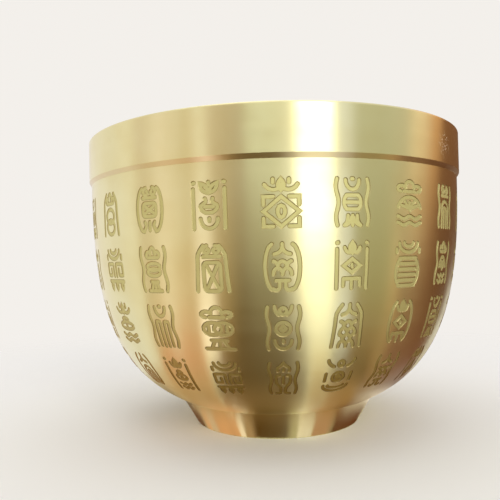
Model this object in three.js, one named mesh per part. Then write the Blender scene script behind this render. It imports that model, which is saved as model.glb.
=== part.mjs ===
// An ornamental brass cup: a round bowl with a plain raised band at its rim, standing on a tapered foot ring.
// Millimetres, +Z up. The origin is the centre of the face that the cup stands on.
// Every piece is turned: it is a closed outline of [radius, height] points, spun about Z.
// The bowl's neck and base are seated in the band and the foot, and a ring of braze fills each joint.

import * as THREE from "three";

// The whole cup
const cupHeight = 51; // from the table to the top of the lip
const rimRadius = 34; // outside of the rim band
const sides = 64; // flats of every turned surface
const jointGap = 0.1; // between a seat and the piece in it, for the braze to run into
const fillerGap = 0.05; // between a ring of braze and the brass round it

// Rim band
const bandHeight = 7; // the upright face, from the lip down
const bandBevelHeight = 0.7; // the slope below the upright face
const bandProud = 0.4; // how far the upright face stands out from the bowl
const lipDepth = 2.2; // the full thickness above the bowl's own edge
const lipOuterRound = 0.5;
const lipInnerRound = 0.9;

// Bowl
const wallThickness = 1.6;
const wallReach = 20; // how long the wall keeps upright below the band
const bellyReach = 14.1; // how long it keeps the slope that it leaves the foot with
const bellySlope = 25; // that slope, in degrees above level
const neckThickness = 1; // the wall inside the band
const neckChamfer = 0.6; // on the neck's outer edge, where the braze lies
const baseDepth = 2.2; // the round base below the seat on the foot
const baseThickness = 2;

// Foot ring
const footHeight = 4.8;
const footTopRadius = 18.1;
const footBottomRadius = 15.25;
const footFaceWidth = 2; // the flat ring that it stands on, with its two small chamfers
const footChamfer = 0.3;
const footLedgeWidth = 1.75; // the ledge inside, below the bowl's base
const footFilletLeg = 0.8; // the braze seen from below, between the base and the bore

// Steps in each curve
const wallSteps = 14;
const floorSteps = 4;
const roundSteps = 3;

// What follows from those sizes
const bowlRadius = rimRadius - bandProud;
const boreRadius = bowlRadius - wallThickness;
const neckRadius = boreRadius + neckThickness;
const skirtRadius = neckRadius + jointGap;
const bandSeatHeight = cupHeight - bandHeight - bandBevelHeight;
const bandFullHeight = bandHeight + bandBevelHeight;
const lipUnderside = bandFullHeight - lipDepth;
const footBoreRadius = footBottomRadius - footFaceWidth;
const baseRadius = footBoreRadius + footLedgeWidth;
const footLedgeHeight = footHeight - baseDepth - jointGap;

const bowlBrass = new THREE.MeshStandardMaterial({
  color: 0xcdb873,
  roughness: 0.25,
  metalness: 1,
});
const bandBrass = new THREE.MeshStandardMaterial({
  color: 0xd2bf80,
  roughness: 0.2,
  metalness: 1,
});
const footBrass = new THREE.MeshStandardMaterial({
  color: 0xc4a866,
  roughness: 0.2,
  metalness: 1,
});
const braze = new THREE.MeshStandardMaterial({
  color: 0xb9a678,
  roughness: 0.5,
  metalness: 1,
});

// The spin turns about Y, so the result is laid over to stand on Z.
function turned(name, outline, material) {
  const points = outline.map(([radius, height]) => new THREE.Vector2(radius, height));
  const geometry = new THREE.LatheGeometry(points, sides);
  geometry.rotateX(Math.PI / 2);
  const mesh = new THREE.Mesh(geometry, material);
  mesh.name = name;
  return mesh;
}

// Points on a round of the given radius about [centreRadius, centreHeight], between two angles in degrees.
function round([centreRadius, centreHeight], radius, fromAngle, toAngle) {
  return Array.from({ length: roundSteps + 1 }, (_, i) => {
    const angle = THREE.MathUtils.degToRad(
      fromAngle + ((toAngle - fromAngle) * i) / roundSteps,
    );
    return [
      centreRadius + radius * Math.cos(angle),
      centreHeight + radius * Math.sin(angle),
    ];
  });
}

// The bowl's outside, from the foot's outer corner up to the band: one smooth curve that leaves the foot
// at bellySlope and ends upright. Heights are from the seat on the foot.
function wallCurve() {
  const slope = THREE.MathUtils.degToRad(bellySlope);
  const top = bandSeatHeight - footHeight;
  return new THREE.CubicBezierCurve(
    new THREE.Vector2(footTopRadius, 0),
    new THREE.Vector2(
      footTopRadius + bellyReach * Math.cos(slope),
      bellyReach * Math.sin(slope),
    ),
    new THREE.Vector2(bowlRadius, top - wallReach),
    new THREE.Vector2(bowlRadius, top),
  );
}

// Points up the outside, each moved inwards, square to the wall, by depth.
function wallPoints(depth) {
  const curve = wallCurve();
  return Array.from({ length: wallSteps + 1 }, (_, i) => {
    const point = curve.getPoint(i / wallSteps);
    const along = curve.getTangent(i / wallSteps);
    return [point.x - depth * along.y, point.y + depth * along.x];
  });
}

// The inside below the wall: it keeps the wall's slope, then curves level into the flat floor.
function floorPoints([startRadius, startHeight]) {
  const floorHeight = baseThickness - baseDepth;
  const drop = startHeight - floorHeight;
  const slope = THREE.MathUtils.degToRad(bellySlope);
  const cornerRadius = startRadius - drop / Math.tan(slope);
  const curve = new THREE.QuadraticBezierCurve(
    new THREE.Vector2(startRadius, startHeight),
    new THREE.Vector2(cornerRadius, floorHeight),
    new THREE.Vector2(cornerRadius - drop / Math.sin(slope), floorHeight),
  );
  return [...curve.getPoints(floorSteps).map((p) => [p.x, p.y]), [0, floorHeight]];
}

// Seated on the foot ring, with its round base inside it and its neck inside the band.
function makeBowl() {
  const shoulder = bandSeatHeight - footHeight;
  const neckTop = shoulder + lipUnderside - jointGap;
  const inside = wallPoints(wallThickness).reverse();
  const bowl = turned(
    "bowl",
    [
      [0, -baseDepth],
      [baseRadius, -baseDepth],
      [baseRadius, 0],
      ...wallPoints(0),
      [neckRadius, shoulder],
      [neckRadius, neckTop - neckChamfer],
      [neckRadius - neckChamfer, neckTop],
      [boreRadius, neckTop],
      ...inside.slice(0, -1),
      ...floorPoints(inside.at(-1)),
    ],
    bowlBrass,
  );
  bowl.position.z = footHeight;
  return bowl;
}

// An L in section: a skirt round the bowl's neck, and a lip over its edge. It seats on the bowl's shoulder.
function makeRimBand() {
  const band = turned(
    "rim_band",
    [
      [skirtRadius, 0],
      [bowlRadius, 0],
      [rimRadius, bandBevelHeight],
      ...round([rimRadius - lipOuterRound, bandFullHeight - lipOuterRound], lipOuterRound, 0, 90),
      ...round([boreRadius + lipInnerRound, bandFullHeight - lipInnerRound], lipInnerRound, 90, 180),
      [boreRadius, lipUnderside],
      [skirtRadius, lipUnderside],
      [skirtRadius, 0],
    ],
    bandBrass,
  );
  band.position.z = bandSeatHeight;
  return band;
}

// A tapered ring, widest at the bowl. Its counterbore takes the bowl's base.
function makeFootRing() {
  const taper = (footTopRadius - footBottomRadius) / footHeight;
  const counterboreRadius = baseRadius + jointGap;
  return turned(
    "foot_ring",
    [
      [footBoreRadius, footChamfer],
      [footBoreRadius + footChamfer, 0],
      [footBottomRadius - footChamfer, 0],
      [footBottomRadius + footChamfer * taper, footChamfer],
      [footTopRadius, footHeight],
      [counterboreRadius, footHeight],
      [counterboreRadius, footLedgeHeight],
      [footBoreRadius, footLedgeHeight],
      [footBoreRadius, footChamfer],
    ],
    footBrass,
  );
}

// Fills the corner over the neck's chamfer, inside the band.
function makeRimBraze() {
  const cornerRadius = skirtRadius - fillerGap;
  const cornerHeight = lipUnderside - fillerGap;
  const leg = neckChamfer + 2 * jointGap - (2 + Math.SQRT2) * fillerGap;
  const ring = turned(
    "rim_braze",
    [
      [cornerRadius, cornerHeight - leg],
      [cornerRadius, cornerHeight],
      [cornerRadius - leg, cornerHeight],
      [cornerRadius, cornerHeight - leg],
    ],
    braze,
  );
  ring.position.z = bandSeatHeight;
  return ring;
}

// A hollow fillet in the corner between the bowl's base and the foot's bore.
function makeFootBraze() {
  const cornerRadius = footBoreRadius - fillerGap;
  const ring = turned(
    "foot_braze",
    [
      [cornerRadius, -fillerGap],
      ...round([cornerRadius - footFilletLeg, -fillerGap - footFilletLeg], footFilletLeg, 90, 0),
      [cornerRadius, -fillerGap],
    ],
    braze,
  );
  ring.position.z = footHeight - baseDepth;
  return ring;
}

const cup = new THREE.Group();
cup.name = "ornamental_cup";
cup.add(makeBowl(), makeRimBand(), makeFootRing(), makeRimBraze(), makeFootBraze());

export default cup;
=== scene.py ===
# A small round-bellied brass cup with a plain rim band, rows of etched ornaments and a tapered foot ring.
# Sizes are in millimetres, as in the CAD source, and become metres when a mesh is made.
import math
import bpy
import numpy as np
from mathutils import Matrix, Vector
from mathutils.geometry import delaunay_2d_cdt


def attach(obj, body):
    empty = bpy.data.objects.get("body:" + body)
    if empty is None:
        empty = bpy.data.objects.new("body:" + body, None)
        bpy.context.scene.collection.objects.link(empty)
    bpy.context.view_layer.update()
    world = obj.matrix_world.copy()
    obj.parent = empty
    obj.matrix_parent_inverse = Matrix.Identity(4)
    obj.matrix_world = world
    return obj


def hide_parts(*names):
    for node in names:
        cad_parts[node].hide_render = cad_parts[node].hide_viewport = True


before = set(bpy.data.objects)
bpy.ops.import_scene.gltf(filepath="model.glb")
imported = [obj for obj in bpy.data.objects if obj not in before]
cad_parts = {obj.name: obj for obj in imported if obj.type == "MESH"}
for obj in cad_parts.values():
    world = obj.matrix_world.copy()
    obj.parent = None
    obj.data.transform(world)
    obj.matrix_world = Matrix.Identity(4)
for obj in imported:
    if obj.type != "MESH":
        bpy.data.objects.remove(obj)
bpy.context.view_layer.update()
scene = bpy.context.scene
mm = 0.001
print("frame loaded:", sorted(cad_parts))


# Camera
camera = {
    "place": (0.0, -109.84, 29.52),
    "tilt": 91.092,  # degrees from straight down
    "turn": 2.377,
    "roll": -1.321,
    "lens": 40.91,
    "sensor": 36.0,
    "clip": (1.0, 20000.0),  # the nearest and the furthest that it sees
}


def makeCamera():
    data = bpy.data.cameras.new("camera")
    data.lens = camera["lens"]
    data.sensor_width = camera["sensor"]
    data.clip_start, data.clip_end = (size * mm for size in camera["clip"])
    eye = bpy.data.objects.new("camera", data)
    turn = Matrix.Rotation(math.radians(camera["turn"]), 4, "Z")
    tilt = Matrix.Rotation(math.radians(camera["tilt"]), 4, "X")
    roll = Matrix.Rotation(math.radians(camera["roll"]), 4, "Z")
    place = Matrix.Translation([size * mm for size in camera["place"]])
    eye.matrix_world = place @ turn @ tilt @ roll
    scene.collection.objects.link(eye)
    scene.camera = eye


makeCamera()
scene.view_settings.view_transform = "Standard"
print("camera placed")


# Bowl
bowl = {
    "columns": 168,  # steps around, a whole number for each ornament
    "bandSeat": 43.3,  # height of the shoulder that carries the band
    "radius": 33.6,
    "wallReach": 20.0,
    "bellyReach": 14.1,
    "bellySlope": 25.0,
    "wallThickness": 1.6,
    "neckRadius": 33.0,
    "neckTop": 48.7,
    "neckChamfer": 0.6,
    "baseRadius": 15.0,
    "baseBottom": 2.6,
    "seat": 4.8,  # where the bowl rests on the foot ring
    "seatRadius": 18.1,
    "floorHeight": 4.6,
    "insideSteps": 60,  # down the inside of the wall
    "coveSteps": 12,  # round the corner between the wall and the floor
}

ornament = {
    "rows": 4,
    "columns": 21,
    "firstAzimuth": 2.02,  # degrees from the front
    "firstRow": 6.03,  # down the wall from the band's seat to the middle of the first row
    "rowPitch": 8.72,
    "flatInset": 0.2,  # how far inside the bowl's radius an ornament's place is laid out flat
    "halfWidth": 2.42,
    "narrowHalf": 1.28,  # of the parts that have strokes beside them
    "halfHeight": 3.18,
    "crownFoot": 1.45,  # these two are down from the ornament's top
    "bodyHead": 2.25,
    "skirtHead": 1.35,  # these two are up from its bottom
    "bodyFoot": 2.2,
    "tallCrownFoot": 1.5,  # where there is no skirt
    "tallBodyHead": 2.35,
    "strokeHalf": 0.235,
    "slope": 0.11,  # width of the etched edge
    "depth": 0.085,
    "across": 8,  # mesh steps across one ornament's place
    "down": 7,
}


# A cubic Bezier from the foot to the band: it leaves the foot at bellySlope and ends upright. It is sampled
# finely from the top down, with the length so far and the outward normal, the tangent turned a right angle.
def wallTable(steps=4000):
    t = np.linspace(1.0, 0.0, steps + 1)[:, None]
    slope = math.radians(bowl["bellySlope"])
    start = np.array([bowl["seatRadius"], bowl["seat"]])
    low = start + bowl["bellyReach"] * np.array([math.cos(slope), math.sin(slope)])
    end = np.array([bowl["radius"], bowl["bandSeat"]])
    high = end - np.array([0.0, bowl["wallReach"]])
    point = (1 - t) ** 3 * start + 3 * t * (1 - t) ** 2 * low + 3 * t**2 * (1 - t) * high + t**3 * end
    along = (1 - t) ** 2 * (low - start) + 2 * t * (1 - t) * (high - low) + t**2 * (end - high)
    along /= np.linalg.norm(along, axis=1, keepdims=True)
    lengths = np.linalg.norm(np.diff(point, axis=0), axis=1)
    return {
        "down": np.concatenate([[0.0], np.cumsum(lengths)]),
        "point": point,
        "normal": np.stack([along[:, 1], -along[:, 0]], 1),
    }


wall = wallTable()
wallLength = wall["down"][-1]


# A place on the outside of the wall from its azimuth and its way down the wall, moved inwards by depth
# along the normal: radius and height come from the table, and x = r sin(azimuth), y = -r cos(azimuth).
def wallPlace(azimuth, down, depth=0.0):
    radius, height, outward, upward = (
        np.interp(down, wall["down"], wall[key][:, i]) for key in ("point", "normal") for i in (0, 1)
    )
    radius = radius - depth * outward
    height = height - depth * upward
    points = np.stack([radius * np.sin(azimuth), -radius * np.cos(azimuth), height], -1)
    normals = np.stack([outward * np.sin(azimuth), -outward * np.cos(azimuth), upward], -1)
    return points, normals


# The wall's outline between two places down the wall, as [radius, height] points and their normals
def wallRun(start, end, steps, depth=0.0):
    way = np.linspace(start, end, steps + 1)
    points, normals = wallPlace(np.full(steps + 1, math.pi / 2), way, depth)
    return points[:, [0, 2]], normals[:, [0, 2]]


# The azimuths of a turned mesh's columns, one full turn without its repeat
def columnAzimuths(columns):
    first = math.radians(ornament["firstAzimuth"]) - math.pi / ornament["columns"]
    return first + np.arange(columns) * 2 * math.pi / columns


# A run of [radius, height] points spun about Z: a grid of points by columns, split into triangles. The
# normal is the run's tangent turned a right angle, so that the metal lies to the left of the run.
def turnedPatch(run, columns, finish=0, normals=None):
    run = np.asarray(run, float)
    if normals is None:
        along = np.gradient(run, axis=0)
        normals = np.stack([along[:, 1], -along[:, 0]], 1)
    normals = normals / np.linalg.norm(normals, axis=1, keepdims=True)
    azimuth = columnAzimuths(columns)
    around = np.stack([np.sin(azimuth), -np.cos(azimuth)], 1)

    def spin(profile):
        flat = profile[:, None, :1] * around
        up = np.repeat(profile[:, None, 1:], columns, 1)
        return np.concatenate([flat, up], 2).reshape(-1, 3)

    step, column = np.meshgrid(np.arange(len(run) - 1), np.arange(columns), indexing="ij")
    a = step * columns + column
    b = step * columns + (column + 1) % columns
    c, d = b + columns, a + columns
    faces = np.concatenate([np.stack([a, b, c], 2), np.stack([a, c, d], 2)]).reshape(-1, 3)
    return {
        "points": spin(run),
        "faces": faces,
        "normals": spin(normals)[faces],
        "finish": np.full(len(faces), finish),
    }


# The runs of an outline made of points and curves: each curve, and from each part to the next a straight
# run in the given number of steps
def outlineRuns(parts, steps):
    parts = [np.atleast_2d(np.asarray(part, float)) for part in parts]
    runs = []
    for part, after, count in zip(parts, parts[1:], steps):
        if len(part) > 1:
            runs.append(part)
        runs.append(np.linspace(part[-1], after[0], count + 1))
    return runs


# Part of an ellipse about a centre, from one angle to another in degrees
def arc(x, y, across, up, start, end, steps=10):
    angle = np.radians(np.linspace(start, end, steps + 1))
    return np.stack([x + across * np.cos(angle), y + up * np.sin(angle)], 1)


weldDigits = 5  # points are one when they agree to this many decimals of a millimetre


# Joins patches into one mesh: points at the same place become one, faces that close up at a pole go, and
# each corner keeps its own normal.
def makePiece(name, patches, finishes):
    offsets = np.cumsum([0] + [len(patch["points"]) for patch in patches])
    points = np.concatenate([patch["points"] for patch in patches])
    faces = np.concatenate([patch["faces"] + offset for patch, offset in zip(patches, offsets)])
    normals = np.concatenate([patch["normals"] for patch in patches])
    finish = np.concatenate([patch["finish"] for patch in patches])
    _, first, place = np.unique(np.round(points, weldDigits), axis=0, return_index=True, return_inverse=True)
    points = points[first]
    faces = place.ravel()[faces]
    whole = (faces[:, 0] != faces[:, 1]) & (faces[:, 1] != faces[:, 2]) & (faces[:, 2] != faces[:, 0])
    faces, normals, finish = faces[whole], normals[whole], finish[whole]
    mesh = bpy.data.meshes.new(name)
    mesh.from_pydata((points * mm).tolist(), [], faces.tolist())
    for material in finishes:
        mesh.materials.append(material)
    mesh.polygons.foreach_set("material_index", finish.astype(np.int32))
    mesh.polygons.foreach_set("use_smooth", np.ones(len(faces), bool))
    mesh.normals_split_custom_set(normals.reshape(-1, 3).tolist())
    mesh.update()
    piece = bpy.data.objects.new(name, mesh)
    scene.collection.objects.link(piece)
    print(name, "made:", len(points), "points,", len(faces), "faces")
    return piece


# Strokes of the ornaments, in millimetres from the middle of the ornament

def stroke(*points):
    return np.array(points, float)


def bar(half, y):
    return stroke((-half, y), (half, y))


def post(x, start, end):
    return stroke((x, start), (x, end))


def ring(x, y, across, up, steps=14):
    return arc(x, y, across, up, 90, 450, steps)


# An upright line that swings from side to side: x follows a sine of the height
def wavy(x, low, high, swing, waves, steps=14):
    t = np.linspace(0, 1, steps + 1)
    return np.stack([x + swing * np.sin(2 * math.pi * waves * t), high + (low - high) * t], 1)


# A spiral: its radius shrinks evenly while its angle turns
def scroll(x, y, radius, start, turns, end, steps=14):
    t = np.linspace(0, 1, steps + 1)
    angle = math.radians(start) + 2 * math.pi * turns * t
    reach = radius + (end * radius - radius) * t
    return np.stack([x + reach * np.cos(angle), y + reach * np.sin(angle)], 1)


# A closed petal from its foot to its tip: its half width is a sine of the way along
def petal(foot, tip, half, steps=7):
    foot, tip = np.array(foot, float), np.array(tip, float)
    t = np.linspace(0, 1, steps + 1)[:, None]
    along = tip - foot
    side = np.array([along[1], -along[0]]) / np.linalg.norm(along)
    bulge = half * np.sin(math.pi * t)
    return np.concatenate([foot + along * t + side * bulge, (foot + along * t - side * bulge)[::-1][1:]])


# Corners cut off: each corner gives way to three points of a small curve, and a cut takes less than half
# of a side
def eased(path, cut, most=0.45):
    path = np.asarray(path, float)
    before, corner, after = path[:-2], path[1:-1], path[2:]

    def towards(end):
        away = end - corner
        length = np.linalg.norm(away, axis=1, keepdims=True)
        return corner + away * np.minimum(cut / length, most)

    start, finish = towards(before), towards(after)
    middle = 0.25 * start + 0.5 * corner + 0.25 * finish
    inner = np.stack([start, middle, finish], 1).reshape(-1, 2)
    return np.concatenate([path[:1], inner, path[-1:]])


def both(*strokes):
    return [*strokes, *(path * [-1, 1] for path in strokes)]


# The ornaments' parts. Each fills a space of half width w between two heights, and has more strokes where
# that half width is roomy.
roomy = 2.0


def budCrown(w, low, high):
    tips = both(post(w * 0.45, high, high - 0.45)) if w > roomy else []
    curls = both(arc(w * 0.42, high, w * 0.58, (high - low) * 0.95, 200, 330, 8))
    return [petal((0, low), (0, high), 0.42), *curls, *tips]


def scrollCrown(w, low, high):
    reach = min(w * 0.5, (high - low) * 0.5)
    return both(scroll(w - reach, high - reach, reach, 90, -0.9, 0.35)) + [bar(w, low)]


def sunCrown(w, low, high):
    middle = (low + high) / 2 + 0.1
    return [ring(0, middle, 0.5, 0.5, 10), *both(arc(0, high + 0.3, w, high - low + 0.2, 300, 352, 6))]


def moonCrown(w, low, high):
    moon = arc(0, high - 0.15, w * 0.8, high - low - 0.15, 180, 360, 10)
    if w < roomy:
        return [moon, bar(0.12, high)]
    inner = arc(0, high - 0.1, w * 0.4, high - low - 0.95, 180, 360, 8)
    return [moon, inner, *both(post(w, low, low + 0.5))]


def leafCrown(w, low, high):
    return both(petal((0.1, low), (w, high - 0.1), 0.36)) + [post(0, high - 0.35, high)]


def roofCrown(w, low, high):
    eave = high - 0.35
    tiles = both(stroke((w * 0.48, high - 0.05), (w * 0.9, high - 0.05))) if w > roomy else []
    return [post(0, high, high - 0.3), *both(arc(w, eave, w, eave - (low + 0.05), 180, 262, 7)), *tiles]


def cloudCrown(w, low, high):
    rise = (high - low) * 0.5
    puffs = both(arc(w * 0.68, low + 0.42, w * 0.32, 0.42, -80, 170, 8))
    return [arc(0, high - rise, w * 0.36, rise, -10, 190, 9), *puffs, bar(w * 0.5, low)]


def flameCrown(w, low, high):
    side = [(w * 0.75, low), (w * 0.8, low + 0.6), (0.3, high - 0.5), (0, high)]
    return both(eased(side, 0.4)) + [post(0, low + 0.05, low + 0.3)]


def lozengeBody(w, low, high):
    y = (low + high) / 2
    reach = (high - low) / 2
    outer = stroke((0, high), (w, y), (0, low), (-w, y), (0, high))
    inner = post(0, y - 0.12, y + 0.12) if reach < 1.6 else ring(0, y, 0.5, reach * 0.4, 10)
    if w < roomy:
        return [outer, inner]
    upper = stroke((w * 0.45, high), (w, high), (w, y + reach * 0.45))
    return [outer, inner, *both(upper, (upper - [0, y]) * [1, -1] + [0, y])]


def coinBody(w, low, high):
    y = (low + high) / 2
    reach = (high - low) / 2
    half = 0.42
    across = min(w, reach * 1.15)
    inner = stroke((0, y + half), (half, y), (0, y - half), (-half, y), (0, y + half))
    posts = both(post(w, y - reach * 0.8, y + reach * 0.8)) if w - across > 0.75 else []
    return [ring(0, y, across, reach), inner, *posts]


def knotBody(w, low, high):
    y = (low + high) / 2
    reach = (high - low) / 2
    if w > roomy:
        return both(ring(w * 0.36, y, w * 0.62, reach), post(w * 0.62, y - reach * 0.4, y + reach * 0.4))
    return [ring(0, y + side * reach * 0.42, w, reach * 0.56) for side in (1, -1)]


def archBody(w, low, high):
    rise = min(w, (high - low) * 0.55)
    spring = high - rise
    inner = w - 0.82

    def arch(half, up, steps):
        return np.concatenate([[(half, low)], arc(0, spring, half, up, 0, 180, steps), [(-half, low)]])

    paths = [arch(w, rise, 10)]
    if inner > 0.4:
        paths.append(arch(inner, rise - 0.82 if rise > 1.3 else 0.3, 8))
    if inner > 0.75:
        paths.append(post(0, low, spring - 0.1))
    return paths


def fretBody(w, low, high):
    x = 0.42
    rise = high - low
    path = [(x, low), (x, high), (w, high), (w, low + 0.1), (x + 0.85, low + 0.1), (x + 0.85, high - 0.85)]
    return both(eased(path if w > roomy and rise > 1.5 else path[:4], 0.25))


def vaseBody(w, low, high):
    y = low + (high - low) * 0.42
    side = [(w * 0.45, high), (w * 0.3, high - 0.5), (w, y + 0.2), (w * 0.9, y - 0.4), (w * 0.4, low)]
    bars = [bar(w * 0.4, low), bar(w * 0.5, y)]
    if high - low > 2.6:
        bars += [bar(w * 0.3, y + 0.85), bar(w * 0.4, low + 0.8)]
    return both(eased(side, 0.5)) + bars


def drumBody(w, low, high):
    count = max(2, int(round((high - low) / 0.85)) + 1)
    bars = [bar(w * 0.72, y) for y in np.linspace(low, high, count)]
    return bars + both(arc(w * 0.55, (low + high) / 2, w * 0.45, (high - low) / 2, -90, 90, 8))


def scaleBody(w, low, high):
    rows = max(2, int((high - low) / 0.95))
    rise = (high - low) / rows
    paths = []
    for row in range(rows):
        y = low + row * rise
        if row % 2:
            paths.append(arc(0, y, w * 0.5, rise * 0.9, 0, 180, 8))
            paths += both(arc(w, y, w * 0.5, rise * 0.9, 95, 180, 5))
        else:
            paths += both(arc(w * 0.5, y, w * 0.5, rise * 0.9, 0, 180, 8))
    return paths


def gourdBody(w, low, high):
    rise = high - low
    lower = rise * 0.31
    upper = rise * 0.19
    full = w > roomy and rise > 2.6
    core = ring(0, low + lower, w * 0.45, lower * 0.35) if full else bar(0.1, low + lower)
    leaves = both(arc(w * 0.98, high - upper, w * 0.3, upper, 120, 240, 6)) if full else []
    return [ring(0, low + lower, w * 0.9, lower), ring(0, high - upper, w * 0.4, upper), core, *leaves]


def lyreBody(w, low, high):
    rise = high - low
    side = [(w * 0.5, high), (w, high - 0.1), (w, high - rise * 0.4)]
    side += [(0.42, low + rise * 0.35), (0.42, low), (w, low)]
    strings = [post(0, high - rise * 0.1, high - rise * 0.42)]
    if w > roomy:
        toe = stroke((w * 0.7, low + 0.85), (w, low + 0.85))
        strings += both(post(w * 0.45, high - 0.9, high - rise * 0.45), toe)
    return both(eased(side, 0.55)) + strings


def fanBody(w, low, high):
    rise = high - low
    rays = []
    for angle in np.radians([28, 59]):
        tip = (w * 0.8 * math.cos(angle), low + rise * 0.78 * math.sin(angle))
        rays.append(stroke((0.3 * math.cos(angle), low + 0.3), tip))
    return [arc(0, low, w, rise, 12, 168, 12), *both(*rays), post(0, low, high - 0.8)]


def netBody(w, low, high):
    corner = 0.5
    side = np.concatenate([
        arc(w - corner, high - corner, corner, corner, 90, 0, 3),
        arc(w - corner, low + corner, corner, corner, 0, -90, 3),
    ])
    around = np.concatenate([side, (side * [-1, 1])[::-1], side[:1]])
    return [around, *both(stroke((-w + corner, low + corner), (w - corner, high - corner)))]


def fringeSkirt(w, low, high):
    count = int(w / 0.8)
    reach = np.arange(1, count + 1) * w / count
    drop = np.where(np.arange(count) % 2, low, low + 0.35)
    posts = both(*(stroke((x, high), (x * 1.02, y)) for x, y in zip(reach, drop)))
    return [bar(w, high), post(0, high, low), *posts]


def streamSkirt(w, low, high):
    streams = [(0.42, -0.2), (0.85, -0.22)] if w > roomy else [(0.75, -0.2)]
    lines = both(*(wavy(w * share, low, high, swing, 0.75, 8) for share, swing in streams))
    return lines + [post(0, high, low + 0.2)]


def waveSkirt(w, low, high):
    t = np.linspace(0, 1, 15)
    across = -w + 2 * w * t
    swing = 0.2 * np.cos(2 * math.pi * 2 * t)
    return [np.stack([across, y + swing], 1) for y in (high - 0.2, low + 0.25)]


def footSkirt(w, low, high):
    reach = min(0.5, (high - low) * 0.42)
    toe = arc(0.42 + reach, low + reach, reach, reach, 200, 320, 5)
    leg = np.concatenate([[(0.42, high), (0.42, low + reach + 0.1)], toe])
    end = [arc(w - 0.35, low + 0.45, 0.4, 0.45, -110, 60, 6)] if w > roomy else []
    return both(leg, *end) + [bar(w * 0.7, high)]


def plinthSkirt(w, low, high):
    legs = both(stroke((w * 0.3, high), (w * 0.62, low)))
    return [bar(w * 0.55, high), *legs, bar(w, low), post(0, high, low)]


def rootSkirt(w, low, high):
    rise = high - low
    inner = arc(w, high, w * 0.9, rise, 190, 268, 6)
    outer = arc(w * 0.9, high, w * 0.35, rise * 0.9, 180, 262, 5)
    return both(inner, outer) + [post(0, high, low)]


def cupSkirt(w, low, high):
    rise = high - low
    outer = arc(0, high, w, rise, 180, 360, 12)
    if w > roomy and rise > 1.2:
        return [outer, arc(0, high, w - 0.85, rise - 0.8, 180, 360, 8)]
    return [outer, post(0, high, high - 0.3)]


def tasselSkirt(w, low, high):
    drops = [petal((x, high), (x, low), 0.34) for x in (0.0, w * 0.72)]
    return [bar(w, high), drops[0], *both(drops[1])]


def noSides(low, high):
    return []


def wavySides(low, high):
    return both(wavy(ornament["halfWidth"] - 0.15, low, high, 0.2, 1.5))


def bowedSides(low, high):
    return both(arc(1.2, (low + high) / 2, ornament["halfWidth"] - 1.2, (high - low) / 2, -78, 78, 12))


def tentSides(low, high):
    reach = ornament["halfWidth"]
    return both(eased([(1.2, high), (reach - 0.3, high - 1.2), (reach - 0.3, high - 2.6), (reach, low)], 0.9))


def pillarSides(low, high):
    reach = ornament["halfWidth"]
    cap = stroke((reach - 0.25, high), (reach - 0.1, high - 0.05))
    return both(post(reach - 0.1, low, high - 0.9), cap)


crowns = [budCrown, scrollCrown, sunCrown, moonCrown, leafCrown, roofCrown, cloudCrown, flameCrown]
bodies = [
    lozengeBody, fretBody, coinBody, archBody, vaseBody, drumBody, knotBody,
    scaleBody, gourdBody, lyreBody, fanBody, netBody,
]
skirts = [fringeSkirt, streamSkirt, waveSkirt, footSkirt, plinthSkirt, rootSkirt, cupSkirt, tasselSkirt]
sides = [noSides, tentSides, wavySides, bowedSides, noSides, pillarSides, wavySides]


# Parts stacked up the middle, alike left and right, and chosen so that neighbours differ. Where strokes
# stand beside them, they are narrower.
def ornamentStrokes(column, row):
    crown = crowns[(column * 3 + row * 5) % len(crowns)]
    body = bodies[(column * 5 + row * 7) % len(bodies)]
    skirt = skirts[(column * 5 + row * 3 + column // 8) % len(skirts)]
    side = sides[(column * 2 + row * 3) % len(sides)]
    top = ornament["halfHeight"]
    width = ornament["halfWidth"] if side is noSides else ornament["narrowHalf"]
    strokes = side(-top, top)
    if (column + row) % 3 == 0:  # a crown over a tall body
        strokes += crown(width, top - ornament["tallCrownFoot"], top)
        return strokes + body(width, -top, top - ornament["tallBodyHead"])
    strokes += crown(width, top - ornament["crownFoot"], top)
    strokes += body(width, -top + ornament["bodyFoot"], top - ornament["bodyHead"])
    return strokes + skirt(width, -top, -top + ornament["skirtHead"])


# The etched wall

leastDivisor = 1e-12  # keeps a division away from zero
tiny = 1e-5  # the distance within which two places are the same


# Adds points along long segments, so that each piece of a stroke follows the round wall
def divided(path, pitch=0.8):
    length = np.linalg.norm(np.diff(path, axis=0), axis=1)
    parts = np.maximum(np.ceil(length / pitch), 1).astype(int)
    index = np.repeat(np.arange(len(parts)), parts)
    share = (np.arange(len(index)) - np.repeat(np.cumsum(parts) - parts, parts)) / parts[index]
    points = path[index] + (path[index + 1] - path[index]) * share[:, None]
    return np.concatenate([points, path[-1:]])


# The line at a given distance round a stroke. Beside the stroke each point goes out along the mean of
# its two segments' normals, lengthened at a bend as far as a limit, and the ends are half circles.
def contours(path, distance, capSteps=5, bendLimit=0.5):
    along = np.diff(path, axis=0)
    along /= np.linalg.norm(along, axis=1, keepdims=True)
    side = np.stack([-along[:, 1], along[:, 0]], 1)
    closed = np.allclose(path[0], path[-1])
    before = np.concatenate([side[-1:] if closed else side[:1], side])
    after = np.concatenate([side, side[:1] if closed else side[-1:]])
    out = (before + after) / np.maximum(1 + (before * after).sum(1, keepdims=True), bendLimit)
    left, right = path + out * distance, path - out * distance
    if closed:
        return [left[:-1], right[:-1]]
    angle = np.linspace(0, math.pi, capSteps + 2)[1:-1, None]
    endCap = path[-1] + distance * (np.cos(angle) * side[-1] + np.sin(angle) * along[-1])
    startCap = path[0] - distance * (np.cos(angle) * side[0] + np.sin(angle) * along[0])
    return [np.concatenate([left, endCap, right[::-1], startCap])]


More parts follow.
